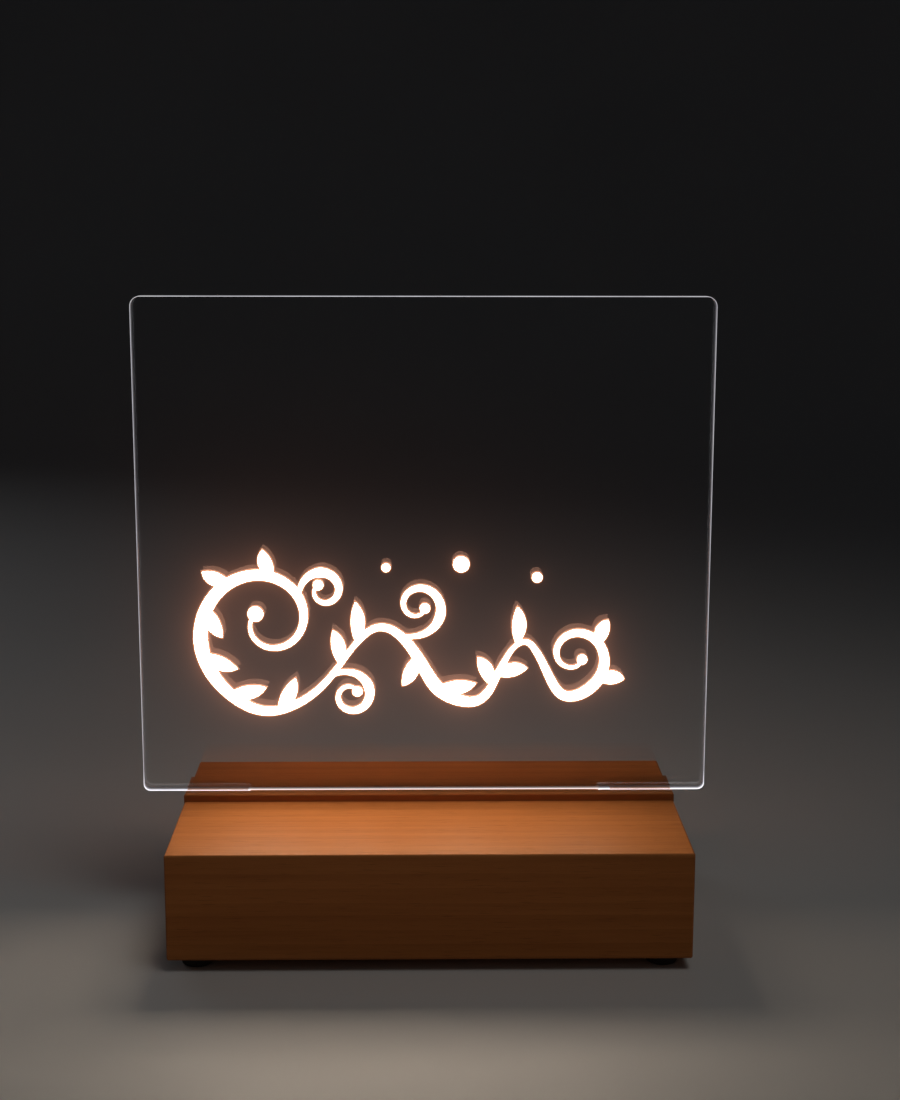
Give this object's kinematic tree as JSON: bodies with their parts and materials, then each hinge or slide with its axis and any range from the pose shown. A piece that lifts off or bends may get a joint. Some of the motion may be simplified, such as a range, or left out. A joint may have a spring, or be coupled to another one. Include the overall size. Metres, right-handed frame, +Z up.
{
  "type": "led sign",
  "caption": "Free-standing edge-lit desk sign: a clear engraved panel stands in the slot of a hollow hardwood lamp base with a push switch, inlet and battery tray.",
  "frame": {"origin": "on the table, under the middle of the panel's width and midway between the base's front and back", "axes": "+Z up, +Y away from the viewer, +X to the viewer's right"},
  "size_m": [0.1724, 0.09, 0.1883],
  "materials": {
    "hardwood_block": "oiled, satin, eased edges",
    "hardwood_rail": "oiled, satin, eased edges",
    "clear_acrylic": "polished faces, cut edges flame polished",
    "white_lacquer": "matt white lacquer filling the engraving",
    "grey_rubber": "soft, matt",
    "black_plastic": "fine moulded texture",
    "cover_plastic": "fine moulded texture",
    "white_plastic": "smooth, matt",
    "tray_plastic": "smooth, matt",
    "button_plastic": "satin",
    "black_zinc": "black zinc plated",
    "zinc_steel": "zinc plated",
    "lamp_board_white": "white solder mask",
    "control_board_green": "green solder mask",
    "chip_phosphor": "white case with phosphor window",
    "resistor_black": "ceramic with tinned ends",
    "component_black": "moulded epoxy",
    "inlet_steel": "nickel plated, satin",
    "tongue_black": "moulded",
    "switch_black": "moulded",
    "cell_jacket": "printed film jacket without any print",
    "contact_nickel": "nickel plated",
    "lead_red_black": "smooth vinyl",
    "lamp_lead_white": "smooth vinyl",
    "clip_white": "smooth nylon"
  },
  "bodies": {
    "base": {"base_block": "hardwood_block", "lamp_rail": "hardwood_rail", "rubber_feet": "grey_rubber", "lamp_channel": "white_plastic", "channel_screws": "zinc_steel", "lamp_board": "lamp_board_white", "lamp_chips": "chip_phosphor", "lamp_resistors": "resistor_black", "rear_bezel": "black_plastic", "bezel_screws": "black_zinc", "control_board": "control_board_green", "board_components": "component_black", "inlet_shell": "inlet_steel", "inlet_tongue": "tongue_black", "switch_body": "switch_black", "battery_cells": "cell_jacket", "battery_tray": "tray_plastic", "tray_screws": "zinc_steel", "contact_plates": "contact_nickel", "contact_springs": "contact_nickel", "bottom_cover": "cover_plastic", "cover_screws": "black_zinc", "lamp_leads": "lamp_lead_white", "battery_leads": "lead_red_black", "lead_clips": "clip_white"},
    "panel": {"acrylic_panel": "clear_acrylic", "engraved_motif": "white_lacquer"},
    "power_button": {"power_button": "button_plastic", "switch_plunger": "switch_black"},
    "battery_door": {"battery_door": "cover_plastic"}
  },
  "joints": [
    {"name": "panel_lift", "type": "slide", "parent": "base", "child": "panel", "axis": [0, 0, 1], "range_m": [0, 0.014]},
    {"name": "power_button_press", "type": "slide", "parent": "base", "child": "power_button", "axis": [0, -1, 0], "range_m": [0, 0.0012], "stiffness_N_per_m": 400, "springref_m": -0.0012},
    {"name": "battery_door_slide", "type": "slide", "parent": "base", "child": "battery_door", "axis": [1, 0, 0], "range_m": [0, 0.0509]}
  ]
}
